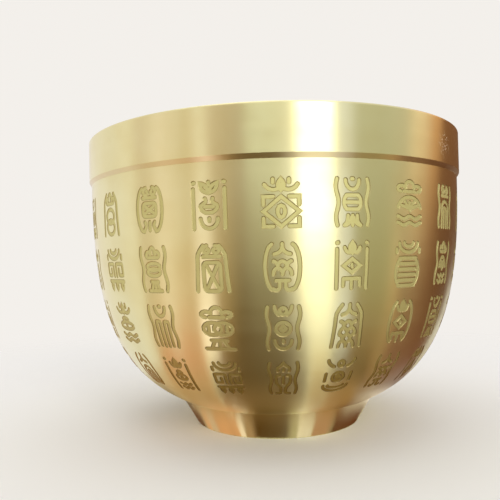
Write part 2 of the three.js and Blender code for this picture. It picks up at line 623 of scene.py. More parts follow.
# The distance from each point to the nearest of the strokes' centre lines
def strokeDistance(points, starts, ends):
    run = ends - starts
    share = ((points[:, None] - starts) * run).sum(2) / np.maximum((run**2).sum(1), leastDivisor)
    nearest = starts + np.clip(share, 0, 1)[..., None] * run
    return np.linalg.norm(points[:, None] - nearest, axis=2).min(1)


# One ornament's place on the wall: a rectangle of azimuth by way down, cut into triangles along the foot
# and the lip of every stroke's edge. The depth is full inside a stroke and falls to nothing over the slope.
def etchedPatch(column, row):
    half = ornament["strokeHalf"]
    slope = ornament["slope"]
    across, down = ornament["across"], ornament["down"]
    width = 2 * math.pi * (bowl["radius"] - ornament["flatInset"]) / ornament["columns"]
    height = ornament["rowPitch"]
    paths = [divided(path) for path in ornamentStrokes(column, row)]
    loops = [loop for path in paths for distance in (half, half + slope) for loop in contours(path, distance)]

    x, y = np.meshgrid(np.linspace(-0.5, 0.5, across + 1), np.linspace(-0.5, 0.5, down + 1), indexing="ij")
    grid = np.stack([x.ravel() * width, y.ravel() * height], 1)
    index = np.arange(len(grid)).reshape(x.shape)
    border = np.concatenate([index[:-1, 0], index[-1, :-1], index[:0:-1, -1], index[0, :0:-1]])
    points = [grid]
    edges = [np.stack([border, np.roll(border, -1)], 1)]
    total = len(grid)
    for loop in loops:
        order = total + np.arange(len(loop))
        edges.append(np.stack([order, np.roll(order, -1)], 1))
        points.append(loop)
        total += len(loop)
    cut = delaunay_2d_cdt(np.concatenate(points).tolist(), np.concatenate(edges).tolist(), [], 0, tiny, False)
    flat = np.array([tuple(point) for point in cut[0]])
    faces = np.array(cut[2])
    ab, ac = flat[faces[:, 1]] - flat[faces[:, 0]], flat[faces[:, 2]] - flat[faces[:, 0]]
    area = ab[:, 0] * ac[:, 1] - ab[:, 1] * ac[:, 0]
    faces = np.where((area < 0)[:, None], faces[:, ::-1], faces)

    starts = np.concatenate([path[:-1] for path in paths])
    ends = np.concatenate([path[1:] for path in paths])
    share = np.clip((half + slope - strokeDistance(flat, starts, ends)) / slope, 0, 1)
    middle = strokeDistance(flat[faces].mean(1), starts, ends)
    finish = np.where(middle < half, 1, np.where(middle < half + slope, 2, 0))

    cell = flat / [width, height] + 0.5
    snapped = np.round(cell * [across, down]) / [across, down]
    cell = np.where(np.abs(cell - snapped) < tiny, snapped, cell)  # so that neighbours share their borders
    step = 2 * math.pi / ornament["columns"]
    azimuth = columnAzimuths(ornament["columns"])[0] + step * (column + cell[:, 0])
    way = ornament["firstRow"] + (row + 0.5 - cell[:, 1]) * height
    points, normals = wallPlace(azimuth, way, share * ornament["depth"])
    corner = normals[faces]
    a, b, c = (points[faces[:, i]] for i in range(3))
    own = np.cross(b - a, c - a)
    own /= np.maximum(np.linalg.norm(own, axis=1, keepdims=True), leastDivisor)
    corner = np.where((finish == 2)[:, None, None], own[:, None], corner)
    return {"points": points, "faces": faces, "normals": corner, "finish": finish}


# The bowl: the etched wall in its places, and the plain runs of its outline round the rest.
def makeBowl(finishes):
    columns = bowl["columns"]
    top = ornament["firstRow"] - ornament["rowPitch"] / 2
    bottom = top + ornament["rows"] * ornament["rowPitch"]
    patches = []
    for start, end, steps in ((top, 0.0, 3), (wallLength, bottom, 10)):  # over and under the ornaments
        run, outward = wallRun(start, end, steps)
        patches.append(turnedPatch(run, columns, normals=outward))
    for row in range(ornament["rows"]):
        patches += [etchedPatch(column, row) for column in range(ornament["columns"])]
        print("row", row + 1, "of the ornaments etched")

    bore = bowl["radius"] - bowl["wallThickness"]
    neck, chamfer, neckTop = bowl["neckRadius"], bowl["neckChamfer"], bowl["neckTop"]
    base, baseBottom, seat = bowl["baseRadius"], bowl["baseBottom"], bowl["seat"]
    floorHeight, shoulder = bowl["floorHeight"], bowl["bandSeat"]
    under = [(0, baseBottom), (base, baseBottom), (base, seat), (bowl["seatRadius"], seat)]
    over = [
        (bowl["radius"], shoulder), (neck, shoulder), (neck, neckTop - chamfer),
        (neck - chamfer, neckTop), (bore, neckTop), (bore, shoulder),
    ]
    inside, inward = wallRun(0, wallLength, bowl["insideSteps"], bowl["wallThickness"])
    last = inside[-1]
    slope = math.radians(bowl["bellySlope"])
    drop = last[1] - floorHeight
    corner = np.array([last[0] - drop / math.tan(slope), floorHeight])
    flat = corner - [drop / math.sin(slope), 0]
    t = np.linspace(0, 1, bowl["coveSteps"] + 1)[:, None]
    cove = (1 - t) ** 2 * last + 2 * t * (1 - t) * corner + t**2 * flat
    for parts, steps in ((under, (6, 1, 1)), (over, (1, 2, 1, 1, 3)), ([cove, (0, floorHeight)], (8,))):
        patches += [turnedPatch(run, columns) for run in outlineRuns(parts, steps)]
    patches.append(turnedPatch(inside, columns, normals=-inward))
    return makePiece("bowl_etched", patches, finishes)


# Rim band
band = {
    "columns": 252,
    "radius": 34.0,
    "top": 51.0,
    "seat": 43.3,
    "slopeHeight": 0.7,
    "slopeWidth": 0.4,
    "bore": 32.0,
    "skirtRadius": 33.1,
    "lipUnderside": 48.8,
    "outerRound": 0.3,
    "innerRound": 0.9,
    "seatEdge": 0.07,  # the small rounds left where two turned faces meet
    "slopeEdge": 0.105,
}


# Rounds off the corner between two straight faces: an arc of the given radius, tangent to both
def cornerRound(before, corner, after, radius, steps=4):
    before, corner, after = (np.array(point, float) for point in (before, corner, after))
    first = (before - corner) / np.linalg.norm(before - corner)
    second = (after - corner) / np.linalg.norm(after - corner)
    halfAngle = math.acos(float(np.clip(first @ second, -1, 1))) / 2
    start, end = (corner + side * radius / math.tan(halfAngle) for side in (first, second))
    centre = corner + (first + second) / np.linalg.norm(first + second) * radius / math.sin(halfAngle)
    angle = math.pi - 2 * halfAngle
    t = np.linspace(0, 1, steps + 1)[:, None]
    spoke = np.sin((1 - t) * angle) * (start - centre) + np.sin(t * angle) * (end - centre)
    return centre + spoke / math.sin(angle)


# An L in section: the skirt round the bowl's neck, the slope under the upright face, and the rounded lip.
def makeBand(finishes):
    radius, top, seat, bore = band["radius"], band["top"], band["seat"], band["bore"]
    outer, inner = band["outerRound"], band["innerRound"]
    skirt, underside = band["skirtRadius"], band["lipUnderside"]
    wallRadius = radius - band["slopeWidth"]
    shoulder = seat + band["slopeHeight"]
    lower = cornerRound((skirt, seat), (wallRadius, seat), (radius, shoulder), band["seatEdge"])
    upper = cornerRound((wallRadius, seat), (radius, shoulder), (radius, top), band["slopeEdge"])
    parts = [
        (skirt, seat),
        lower,
        upper,
        arc(radius - outer, top - outer, outer, outer, 0, 90, 8),
        arc(bore + inner, top - inner, inner, inner, 90, 180, 10),
        (bore, underside),
        (skirt, underside),
        (skirt, seat),
    ]
    # the slope under the band takes the second finish, whose darker colour is painted shade
    slopeRun = 2
    runs = outlineRuns(parts, (1, 2, 6, 1, 2, 1, 2))
    patches = [turnedPatch(run, band["columns"], int(i == slopeRun)) for i, run in enumerate(runs)]
    return makePiece("rim_band_turned", patches, finishes)


# Foot ring
foot = {
    "columns": 252,
    "height": 4.8,
    "topRadius": 18.1,
    "bottomRadius": 15.25,
    "faceWidth": 2.0,
    "chamfer": 0.3,
    "counterbore": 15.1,
    "ledge": 2.5,
    "edge": 0.06,  # the small round left at the table
    "jointEdge": 0.02,  # at the bowl, where the two turned faces meet sharply
}


# A tapered ring, widest at the bowl, with a counterbore for the bowl's base
def makeFoot(finish):
    height, chamfer, ledge, counterbore = foot["height"], foot["chamfer"], foot["ledge"], foot["counterbore"]
    bore = foot["bottomRadius"] - foot["faceWidth"]
    rim = (foot["topRadius"], height)
    sole = (foot["bottomRadius"], 0)
    lower = cornerRound((bore, 0), sole, rim, foot["edge"])
    upper = cornerRound(sole, rim, (counterbore, height), foot["jointEdge"])
    outside = [(bore, chamfer), (bore + chamfer, 0), lower, upper]
    inside = [(counterbore, height), (counterbore, ledge), (bore, ledge), (bore, chamfer)]
    runs = outlineRuns(outside + inside, (1, 2, 4, 1, 2, 1, 2))
    return makePiece("foot_ring_turned", [turnedPatch(run, foot["columns"]) for run in runs], [finish])


# Braze
braze = {
    "columns": 168,
    "steps": 6,  # across a ring's free face
    "gap": 0.05,
    "rimLeg": 0.629,
    "footLeg": 0.8,
    "sag": 0.06,  # how unevenly the metal flowed
    "swells": ((5, 1, 1.0), (11, 0, 0.6), (23, 2, 0.3)),  # how many round the ring, their phase, their share
}


# A ring of filler metal in a corner: an outline spun about Z, whose free face swells and sinks a little
# with a few sines of the azimuth, as metal does that flowed and froze.
def brazeRing(name, corner, leg, hollow, finish):
    a = np.array(corner, float)
    b, c = a - [leg, 0], a - [0, leg]
    t = np.linspace(0, 1, braze["steps"] + 1)[:, None]
    pull = a if hollow else (b + c) / 2
    face = (1 - t) ** 2 * b + 2 * t * (1 - t) * pull + t**2 * c
    patches = [turnedPatch(run, braze["columns"]) for run in outlineRuns([a, face, a], (1, 1))]
    points = patches[1]["points"].reshape(len(t), braze["columns"], 3)
    azimuth = columnAzimuths(braze["columns"])
    swell = sum(share * np.sin(count * azimuth + phase) for count, phase, share in braze["swells"]) / 2
    inward = (a - (b + c) / 2) / np.linalg.norm(a - (b + c) / 2)
    move = np.sin(math.pi * t)[:, :, None] * (braze["sag"] * swell)[:, None]
    outward = points[..., :2] / np.linalg.norm(points[..., :2], axis=2, keepdims=True)
    points[..., :2] += move * inward[0] * outward
    points[..., 2] += (move * inward[1])[..., 0]
    patches[1]["points"] = points.reshape(-1, 3)
    return makePiece(name, patches, [finish])


def makeBrazes(finish):
    gap = braze["gap"]
    rimCorner = (band["skirtRadius"] - gap, band["lipUnderside"] - gap)
    footCorner = (foot["bottomRadius"] - foot["faceWidth"] - gap, bowl["baseBottom"] - gap)
    rim = brazeRing("rim_braze_flowed", rimCorner, braze["rimLeg"], False, finish)
    return rim, brazeRing("foot_braze_flowed", footCorner, braze["footLeg"], True, finish)


# Materials
brass = {
    "colour": (0.88, 0.84, 0.475),
    "worn": (0.85, 0.78, 0.40),  # where it has dulled
    "slope": (0.80, 0.68, 0.38),  # under the band: painted shade, a darker colour on the band's slope
    "roughness": 0.33,
    "polish": 0.03,  # how much smoother the band and the foot are
    "stretch": 0.97,  # how far the turning lines stretch a reflection up and down
    "quarterTurn": 0.25,  # lays the stretch across the lines
    "lineDepth": 0.0015,  # mm
    "lineBump": 0.35,
    "linesPerMm": 7.0,
    "lineDrift": 0.004,  # how much the pattern changes on the way round
    "broadLines": 9.0,  # fine lines to one broad line
    "broadShare": 0.6,
    "broadRoughness": 0.07,
    "smudgeSize": 9.0,  # mm
    "smudges": (0.42, 0.75),  # the noise at which a smudge starts and at which it is full
    "smudgeRoughness": 0.05,
    "usualRoughness": 0.045,  # what lines and smudges add on average
}


def newMaterial(name):
    material = bpy.data.materials.new(name)
    material.use_nodes = True
    material.node_tree.nodes.clear()
    return material


# A node with its settings, and its sockets set to a value or joined to another node's output
def addNode(material, kind, sockets=None, **settings):
    tree = material.node_tree
    node = tree.nodes.new(kind)
    for key, value in settings.items():
        setattr(node, key, value)
    for key, value in (sockets or {}).items():
        if isinstance(value, bpy.types.NodeSocket):
            tree.links.new(value, node.inputs[key])
        else:
            node.inputs[key].default_value = value
    return node


def addMath(material, operation, first, second=0.0, third=0.0):
    sockets = {0: first, 1: second, 2: third}
    return addNode(material, "ShaderNodeMath", sockets, operation=operation).outputs[0]


def addVector(material, operation, sockets):
    return addNode(material, "ShaderNodeVectorMath", sockets, operation=operation).outputs


# A noise whose blobs have about the given size in millimetres
def addNoise(material, place, size, detail, roughness=0.5):
    sockets = {"Vector": place, "Scale": 1 / (size * mm), "Detail": detail, "Roughness": roughness}
    return addNode(material, "ShaderNodeTexNoise", sockets).outputs[0]


# How far a value has come from start to end, between 0 and 1
def addRange(material, value, start, end, kind="SMOOTHSTEP"):
    sockets = {"Value": value, "From Min": start, "From Max": end}
    return addNode(material, "ShaderNodeMapRange", sockets, interpolation_type=kind).outputs[0]


# A blend of two colours, each a number triple or another node's output
def addBlend(material, share, first, second):
    sockets = {0: share}
    for key, colour in ((6, first), (7, second)):  # the node's sockets for two colours
        sockets[key] = colour if isinstance(colour, bpy.types.NodeSocket) else (*colour, 1)
    return addNode(material, "ShaderNodeMix", sockets, data_type="RGBA").outputs[2]


# Where a point lies on the turned outline: its radius and height in metres, with only a trace of its
# azimuth, so that a pattern read from them runs round the piece as turning lines do
def outlinePlace(material, drift):
    place = addNode(material, "ShaderNodeTexCoord").outputs["Object"]
    parts = addNode(material, "ShaderNodeSeparateXYZ", {0: place}).outputs
    flat = addNode(material, "ShaderNodeCombineXYZ", {0: parts[0], 1: parts[1]}).outputs[0]
    radius = addVector(material, "LENGTH", {0: flat})["Value"]
    trace = addVector(material, "SCALE", {0: flat, 3: drift})[0]
    spun = addNode(material, "ShaderNodeCombineXYZ", {0: radius, 2: parts[2]}).outputs[0]
    return place, addVector(material, "ADD", {0: spun, 1: trace})[0]


def finishMaterial(material, shader):
    addNode(material, "ShaderNodeOutputMaterial", {"Surface": shader.outputs[0]})
    return material


nicks = {
    "place": (26.8, -20.9, 46.9),  # on the band, to the right
    "reach": (2.4, 1.0),  # mm: there are none beyond the first, and all of them within the second
    "size": 0.25,  # mm
    "peaks": (0.62, 0.67),  # the noise at which a nick starts and at which it is full
    "colour": (1.0, 0.74, 0.52),
    "roughness": 0.5,
    "metallic": 0.1,
}


# Small bright nicks round a place: the peaks of a noise, fewer and fainter further out
def nickCover(material, place):
    middle = [size * mm for size in nicks["place"]]
    apart = addVector(material, "DISTANCE", {0: place, 1: middle})["Value"]
    near = addRange(material, apart, *(size * mm for size in nicks["reach"]), kind="LINEAR")
    flecks = addNoise(material, place, nicks["size"], detail=1.0)
    return addMath(material, "MULTIPLY", near, addRange(material, flecks, *nicks["peaks"], kind="LINEAR"))


# Turned and polished brass: fine lines run round it, so that its reflections stretch along the outline
def turnedBrass(name, roughness, colour, worn, nicked=False):
    material = newMaterial(name)
    place, spun = outlinePlace(material, brass["lineDrift"])
    lineSize = 1 / brass["linesPerMm"]
    fine = addNoise(material, spun, lineSize, detail=2.0, roughness=0.6)
    broad = addNoise(material, spun, lineSize * brass["broadLines"], detail=1.0)
    lines = addMath(material, "MULTIPLY_ADD", broad, brass["broadShare"], fine)
    smudge = addNoise(material, place, brass["smudgeSize"], detail=3.0)
    dull = addRange(material, smudge, *brass["smudges"], kind="LINEAR")
    least = roughness - brass["usualRoughness"]
    streak = addMath(material, "MULTIPLY_ADD", broad, brass["broadRoughness"], least)
    rough = addMath(material, "MULTIPLY_ADD", dull, brass["smudgeRoughness"], streak)
    shade = addBlend(material, dull, colour, worn)
    metallic = 1.0
    if nicked:
        cover = nickCover(material, place)
        metallic = addMath(material, "MULTIPLY_ADD", cover, nicks["metallic"] - 1, metallic)
        shade = addBlend(material, cover, shade, nicks["colour"])
        rough = addMath(material, "MULTIPLY_ADD", cover, nicks["roughness"] - roughness, rough)
    relief = {"Height": lines, "Strength": brass["lineBump"], "Distance": brass["lineDepth"] * mm}
    sockets = {
        "Base Color": shade,
        "Metallic": metallic,
        "Roughness": rough,
        "Anisotropic": brass["stretch"],
        "Anisotropic Rotation": brass["quarterTurn"],
        "Tangent": addNode(material, "ShaderNodeTangent", direction_type="RADIAL", axis="Z").outputs[0],
        "Normal": addNode(material, "ShaderNodeBump", relief).outputs[0],
    }
    return finishMaterial(material, addNode(material, "ShaderNodeBsdfPrincipled", sockets))


# Matt finishes. Low is the colour that each takes on near the foot: painted shade, darker and browner towards
# the foot.
matt = {
    "etched floor": {
        "colour": (0.70, 0.67, 0.32), "dark": (0.61, 0.57, 0.23), "low": (0.36, 0.25, 0.05),
        "roughness": 0.6, "metallic": 0.8, "bumps": 0.02,
    },
    "etched edge": {
        "colour": (0.50, 0.44, 0.20), "dark": (0.46, 0.40, 0.17), "low": (0.40, 0.30, 0.12),
        "roughness": 0.5, "metallic": 1.0, "bumps": 0.004,
    },
    "braze": {
        "colour": (0.72, 0.64, 0.42), "dark": (0.55, 0.46, 0.28), "low": (0.55, 0.46, 0.28),
        "roughness": 0.5, "metallic": 1.0, "bumps": 0.03,
    },
}
grain = {
    "size": 0.11,  # mm
    "clouds": 4.0,  # mm
    "bump": 0.5,
    "roughness": 0.12,  # how much it varies with the grain
    "footShadeHeights": (26 * mm, 8 * mm),  # heights at which the painted shade near the foot begins and at which it is full
}


# Matt brass: a fine even grain, cloudy between two tones, and painted shade that darkens it near the foot
def mattBrass(name, colour, dark, low, roughness, metallic, bumps):
    material = newMaterial(name)
    place = addNode(material, "ShaderNodeTexCoord").outputs["Object"]
    height = addNode(material, "ShaderNodeSeparateXYZ", {0: place}).outputs[2]
    grit = addNoise(material, place, grain["size"], detail=2.0)
    cloud = addNoise(material, place, grain["clouds"], detail=2.0)
    clean = addBlend(material, cloud, colour, dark)
    varied = grain["roughness"]
    relief = {"Height": grit, "Strength": grain["bump"], "Distance": bumps * mm}
    sockets = {
        # towards the foot the colour blends into low: painted shade that darkens and browns it
        "Base Color": addBlend(material, addRange(material, height, *grain["footShadeHeights"]), clean, low),
        "Metallic": metallic,
        "Roughness": addMath(material, "MULTIPLY_ADD", grit, varied, roughness - varied / 2),
        "Normal": addNode(material, "ShaderNodeBump", relief).outputs[0],
    }
    return finishMaterial(material, addNode(material, "ShaderNodeBsdfPrincipled", sockets))


smoother = brass["roughness"] - brass["polish"]
bowlBrass = turnedBrass("bowl brass", brass["roughness"], brass["colour"], brass["worn"])
bandBrass = turnedBrass("band brass", smoother, brass["colour"], brass["worn"], nicked=True)
footBrass = turnedBrass("foot brass", smoother, brass["colour"], brass["worn"])
# the band's slope: a darker brass colour, painted shade under the band
shadedSlopeBrass = turnedBrass("slope brass with painted shade", brass["roughness"], brass["slope"], brass["slope"])
etchedFloor, etchedEdge, brazeMetal = (mattBrass(name, **settings) for name, settings in matt.items())
print("materials made")

bowlPiece = makeBowl([bowlBrass, etchedFloor, etchedEdge])
bandPiece = makeBand([bandBrass, shadedSlopeBrass])
footPiece = makeFoot(footBrass)
rimBraze, footBraze = makeBrazes(brazeMetal)
for piece, node, slot in (
    (bowlPiece, "bowl", "bowl_brass"),
    (bandPiece, "rim_band", "band_brass"),
    (footPiece, "foot_ring", "foot_brass"),
    (rimBraze, "rim_braze", "braze"),
    (footBraze, "foot_braze", "braze"),
):
    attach(piece, "root")
    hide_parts(node)
print("the cup's pieces ride on the root body")


# The studio: a pale floor that fades into the pale world far out
studio = {
    "floorRadius": 180.0,
    "floorColumns": 96,
    "fadeFrom": 40.0,
    "fadeTo": 171.0,
    "floorColour": (0.94, 0.935, 0.935),
    "background": (0.90, 0.87, 0.83),
    "light": (1.0, 0.98, 0.95),
    "lightLevel": 0.72,
    "lampAim": 25.0,  # the height on the cup's axis that every lamp faces
}


# A disc spun about Z, pale and matt, that thins out to nothing towards its rim
def makeFloor():
    material = newMaterial("pale floor")
    place = addNode(material, "ShaderNodeTexCoord").outputs["Object"]
    reach = addVector(material, "LENGTH", {0: place})["Value"]
    fade = addRange(material, reach, studio["fadeFrom"] * mm, studio["fadeTo"] * mm)
    paint = addNode(material, "ShaderNodeBsdfDiffuse", {"Color": (*studio["floorColour"], 1)})
    clear = addNode(material, "ShaderNodeBsdfTransparent")
    blend = addNode(material, "ShaderNodeMixShader", {0: fade, 1: paint.outputs[0], 2: clear.outputs[0]})
    finishMaterial(material, blend)
    disc = turnedPatch([(studio["floorRadius"], 0), (0, 0)], studio["floorColumns"])
    floor = makePiece("floor", [disc], [material])


# The background's colour is what the camera, the metal and glass see. Matt surfaces get the light instead.
def makeWorld():
    world = bpy.data.worlds.new("pale room")
    scene.world = world
    world.use_nodes = True
    world.node_tree.nodes.clear()
    path = addNode(world, "ShaderNodeLightPath").outputs
    seen = addMath(world, "MAXIMUM", path["Is Camera Ray"], path["Is Glossy Ray"])
    seen = addMath(world, "MAXIMUM", seen, path["Is Transmission Ray"])
    light = addNode(world, "ShaderNodeBackground", {0: (*studio["light"], 1), 1: studio["lightLevel"]})
    plain = addNode(world, "ShaderNodeBackground", {0: (*studio["background"], 1), 1: 1.0})
    mix = addNode(world, "ShaderNodeMixShader", {0: seen, 1: light.outputs[0], 2: plain.outputs[0]})
    addNode(world, "ShaderNodeOutputWorld", {"Surface": mix.outputs[0]})


# Soft lamps. Each looks at the cup from its azimuth (0 is the camera's side, to the right is more) and
# its height above the floor. At level 1 its face is as bright as white paper.
lamps = {
    "overhead": {
        "azimuth": 200, "away": 60, "height": 620,
        "width": 500, "tall": 500, "level": 0.9, "colour": (1, 0.98, 0.95),
    },
    "window": {
        "azimuth": 24, "away": 520, "height": 190,
        "width": 190, "tall": 460, "level": 3.0, "colour": (1, 0.99, 0.98),
    },
}


# A rectangle of light, whose power is its level times pi times its area
def makeLamp(name, azimuth, away, height, width, tall, level, colour):
    data = bpy.data.lights.new(name, "AREA")
    data.shape = "RECTANGLE"
    data.size = width * mm
    data.size_y = tall * mm
    data.energy = level * math.pi * data.size * data.size_y
    data.color = colour
    lamp = bpy.data.objects.new(name, data)
    turn = math.radians(azimuth)
    place = Vector((away * math.sin(turn), -away * math.cos(turn), height)) * mm
    towards = Vector((0, 0, studio["lampAim"] * mm)) - place
    lamp.matrix_world = Matrix.Translation(place) @ towards.to_track_quat("-Z", "Y").to_matrix().to_4x4()
    lamp.visible_camera = False
    scene.collection.objects.link(lamp)


# Cards that only the metal's reflections see. Each lies on the floor from its near edge outwards and then
# stands up, or with a far edge lies flat, and a later one lies over those before it. First and last are the
# azimuths at which the cup mirrors its sides, and soft is how much of its width fades out at each. Three
# values are for the floor near the cup, for the foot of the upright part and for high up. Two values of far
# or rise are at the first and the last side.
underFoot = {"near": 15.2, "far": 19.8}  # what the foot ring mirrors
cards = {
    "left": {
        "first": -185, "last": -91, "near": 31, "soft": (0.08, 0.06), "streaks": 0.06,
        "colours": [(0.85, 0.82, 0.86), (0.87, 0.82, 0.84), (0.92, 0.88, 0.93)],
    },
    "left_light": {
        "first": -108, "last": -88, "near": 36, "soft": (0.5, 0.3),
        "colours": [(0.88, 0.81, 0.78), (0.90, 0.83, 0.79), (0.94, 0.87, 0.90)],
    },
    "front_left": {
        "first": -92, "last": (-44, -44, -42), "near": 33, "rise": 300, "soft": (0.1, 0.1), "streaks": 0.12,
        "colours": [(0.76, 0.34, 0.21), (0.82, 0.70, 0.53), (0.86, 0.77, 0.86)],
    },
    "left_shade": {
        "first": (-93, -91, -89), "last": -74, "near": 45, "rise": 300, "soft": (0.35, 0.5),
        "colours": [(0.64, 0.44, 0.27), (0.68, 0.55, 0.40), (0.80, 0.70, 0.76)],
    },
    "warm_light": {
        "first": -76, "last": -59, "near": 45, "rise": 300, "soft": (0.4, 0.4),
        "colours": [(0.90, 0.70, 0.62), (0.97, 0.84, 0.74), (0.92, 0.82, 0.94)],
    },
    "warm_shade": {
        "first": -56, "last": -43, "near": 45, "rise": 300, "soft": (0.4, 0.2),
        "colours": [(0.68, 0.34, 0.18), (0.70, 0.58, 0.40), (0.74, 0.62, 0.55)],
    },
    "front_warm": {
        "first": -40, "last": -13, "near": 100, "rise": 330, "soft": (0.1, 0.2), "streaks": 0.08,
        "colours": [(0.56, 0.44, 0.24), (0.60, 0.48, 0.27), (0.86, 0.71, 0.76)],
    },
    "front_light": {
        "first": -17, "last": 8, "near": 100, "soft": (0.2, 0.3),
        "colours": [(0.72, 0.75, 0.33), (0.88, 0.92, 0.60), (1.26, 1.22, 1.40)],
    },
    "front_low": {
        "first": (-43, -40, -36), "last": (25, 7, 4), "near": 15.4, "rise": (108, 26),
        "soft": (0.1, 0.12), "streaks": 0.1,
        "colours": [(0.09, 0.035, 0.0), (0.12, 0.065, 0.0), (0.26, 0.23, 0.05)],
    },
    "front_right": {
        "first": (40, 42, 42), "last": (84, 96, 130), "near": 18.4, "soft": (0.1, 0.1), "streaks": 0.12,
        "colours": [(0.28, 0.14, 0.06), (0.36, 0.33, 0.17), (0.88, 0.89, 0.94)],
    },
    "window_edge": {
        "first": 36, "last": 50, "near": 100, "soft": (0.3, 0.6),
        "colours": (0.82, 0.83, 0.98),
    },
    "right_light": {
        "first": (66, 70, 88), "last": (82, 90, 122), "near": 33, "soft": (0.45, 0.3),
        "colours": [(0.36, 0.22, 0.10), (0.90, 0.66, 0.40), (1.15, 1.05, 1.00)],
    },
    "right_tan": {
        "first": (70, 74, 108), "last": (88, 94, 142), "near": 33, "soft": (0.5, 0.1),
        "colours": [(0.26, 0.13, 0.07), (0.60, 0.29, 0.13), (1.30, 0.74, 0.42)],
    },
    "right": {
        "first": (78, 77, 132), "last": (142, 150, 205), "near": 27, "soft": (0.1, 0.08), "streaks": 0.15,
        "colours": [(0.20, 0.08, 0.05), (0.14, 0.06, 0.035), (0.42, 0.19, 0.09)],
    },
    "brown_low": {
        "first": (-42, -38, -36), "last": (-20, -17, -18), "near": 36, "rise": (50, 10), "soft": (0.2, 0.6),
        "colours": [(0.26, 0.13, 0.04), (0.44, 0.29, 0.12), (0.50, 0.38, 0.18)],
    },
    "front_strip": {
        "first": (-48, -48, -47), "last": (-34, -34, -35), "near": 41, "rise": 60, "soft": (0.2, 0.2),
        "colours": [(1.6, 1.34, 1.30), (1.22, 1.09, 1.14), (0.72, 0.60, 0.54)],
    },
    "left_foot": {
        **underFoot, "first": -215, "last": -112, "soft": (0.08, 0.14),
        "colours": (0.13, 0.035, 0.01),
    },
    "warm_foot": {
        **underFoot, "first": -120, "last": -46, "soft": (0.18, 0.05), "streaks": 0.25,
        "colours": (0.77, 0.38, 0.21),
    },
    "gold_foot": {
        **underFoot, "first": -106, "last": -84, "soft": (0.4, 0.3),
        "colours": (0.67, 0.48, 0.38),
    },
    "strip_foot": {
        **underFoot, "first": -51, "last": -42, "soft": (0.15, 0.15),
        "colours": (1.05, 0.84, 0.78),
    },
    "brown_foot": {
        **underFoot, "first": -43, "last": -24, "soft": (0.1, 0.6),
        "colours": (0.44, 0.27, 0.16),
    },
    "olive_foot": {
        **underFoot, "first": 8, "last": 26, "soft": (0.7, 0.1),
        "colours": (0.40, 0.33, 0.20),
    },
    "window_foot": {
        **underFoot, "first": 22, "last": 46, "soft": (0.25, 0.15), "streaks": 0.2,
        "colours": (0.82, 0.70, 0.65),
    },
    "tan_foot": {
        **underFoot, "first": 43, "last": 76, "soft": (0.1, 0.3), "streaks": 0.1,
        "colours": (0.50, 0.27, 0.17),
    },
    "right_foot": {
        **underFoot, "first": 66, "last": 150, "soft": (0.17, 0.08), "streaks": 0.1,
        "colours": (0.13, 0.035, 0.01),
    },
    "left_near": {
        "first": -215, "last": -106, "near": 19.9, "far": (46, 31), "soft": (0.1, 0.1),
        "colours": [(0.08, 0.03, 0.01), (0.26, 0.14, 0.06), (0.46, 0.34, 0.24)],
    },
    "warm_near": {
        "first": -115, "last": -43, "near": 19.9, "far": 35, "soft": (0.1, 0.08), "streaks": 0.2,
        "colours": [(0.40, 0.25, 0.13), (0.62, 0.40, 0.24), (0.54, 0.28, 0.14)],
    },
    "front_near": {
        "first": -46, "last": 23, "near": 19.9, "far": 36, "soft": (0.06, 0.1), "streaks": 0.1,
        "colours": [(0.26, 0.14, 0.06), (0.10, 0.05, 0.01), (0.08, 0.04, 0.005)],
    },
    "window_near": {
        "first": 19, "last": 37, "near": 19.9, "far": 42, "soft": (0.4, 0.25),
        "colours": [(0.36, 0.20, 0.09), (0.42, 0.27, 0.11), (0.72, 0.55, 0.26)],
    },
    "tan_near": {
        "first": 34, "last": 70, "near": 19.9, "far": 42, "soft": (0.1, 0.2), "streaks": 0.1,
        "colours": [(0.46, 0.25, 0.11), (0.13, 0.07, 0.02), (0.16, 0.10, 0.03)],
    },
    "right_near": {
        "first": 60, "last": 200, "near": 19.9, "far": (21.5, 48), "soft": (0.12, 0.05),
        "colours": [(1.08, 0.97, 0.99), (0.29, 0.22, 0.25), (0.56, 0.46, 0.54)],
    },
    "back_shade": {
        "first": 156, "last": 194, "near": 31, "soft": (0.35, 0.25), "streaks": 0.15,
        "colours": [(0.48, 0.34, 0.22), (0.40, 0.28, 0.17), (0.52, 0.42, 0.28)],
    },
    "back_light": {
        "first": 191, "last": 201, "near": 31, "soft": (0.3, 0.4),
        "colours": (1.25, 1.20, 1.15),
    },
}

mirror = {
    "azimuth": 27,  # of the line on the cup that stands for all of it
    "farthest": 317.0,  # beyond this the share stays as it is
    "places": 600,
}


